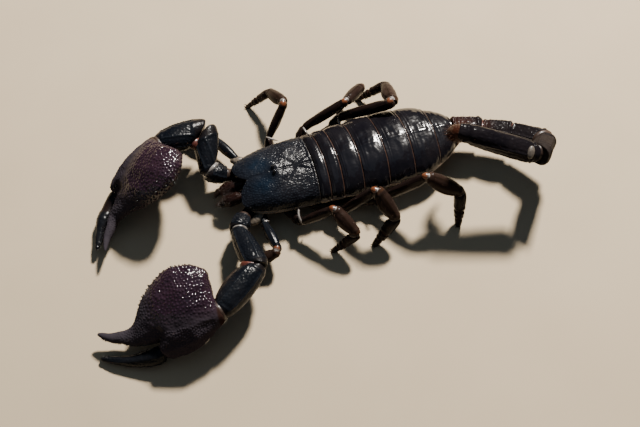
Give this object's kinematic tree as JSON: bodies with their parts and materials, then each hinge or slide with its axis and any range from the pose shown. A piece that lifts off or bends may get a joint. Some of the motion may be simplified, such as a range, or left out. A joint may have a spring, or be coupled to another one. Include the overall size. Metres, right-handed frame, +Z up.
{
  "type": "emperor scorpion, still life-size model",
  "caption": "Large black scorpion at rest, life size: broad granular claws held forward, eight folded legs on flat feet, and a tail curled back over its own base.",
  "frame": {"origin": "under the middle of the animal's box, on the ground plane", "axes": "+X towards the head, +Y towards the animal's left, +Z up"},
  "size_m": [0.1698, 0.0908, 0.034],
  "materials": {
    "carapace": "satin, finely granular blue-black cuticle",
    "tergite": "glossy blue-black cuticle with a thin brown rear margin",
    "flesh": "matt brown joint and side membrane",
    "chelicera": "glossy dark red-brown",
    "eye": "polished black",
    "arm": "glossy blue-black with granular keels",
    "hand": "satin purple-brown covered in round granules",
    "finger": "glossy black with keels",
    "leg": "glossy brown-black",
    "tail": "glossy black with granular keels",
    "telson": "satin red-brown",
    "pectine": "matt pale brown"
  },
  "bodies": {
    "root": {"carapace": "carapace", "trunk": "flesh", "prosoma_underside": "leg", "telson": "telson", "tergite_1": "tergite", "tergite_2": "tergite", "tergite_3": "tergite", "tergite_4": "tergite", "tergite_5": "tergite", "tergite_6": "tergite", "tergite_7": "tergite", "tail_segment_1": "tail", "tail_segment_2": "tail", "tail_segment_3": "tail", "tail_segment_4": "tail", "tail_segment_5": "tail", "chelicera_left": "chelicera", "eye_left": "eye", "pectine_left": "pectine", "pedipalp_left_trochanter": "arm", "pedipalp_left_femur": "arm", "pedipalp_left_patella": "arm", "pedipalp_left_hand": "hand", "pedipalp_left_finger": "finger", "leg_left_1_femur": "leg", "leg_left_1_patella": "leg", "leg_left_1_foot": "leg", "leg_left_2_femur": "leg", "leg_left_2_patella": "leg", "leg_left_2_foot": "leg", "leg_left_3_femur": "leg", "leg_left_3_patella": "leg", "leg_left_3_foot": "leg", "leg_left_4_femur": "leg", "leg_left_4_patella": "leg", "leg_left_4_foot": "leg", "chelicera_right": "chelicera", "eye_right": "eye", "pectine_right": "pectine", "pedipalp_right_trochanter": "arm", "pedipalp_right_femur": "arm", "pedipalp_right_patella": "arm", "pedipalp_right_hand": "hand", "pedipalp_right_finger": "finger", "leg_right_1_femur": "leg", "leg_right_1_patella": "leg", "leg_right_1_foot": "leg", "leg_right_2_femur": "leg", "leg_right_2_patella": "leg", "leg_right_2_foot": "leg", "leg_right_3_femur": "leg", "leg_right_3_patella": "leg", "leg_right_3_foot": "leg", "leg_right_4_femur": "leg", "leg_right_4_patella": "leg", "leg_right_4_foot": "leg"}
  },
  "joints": []
}
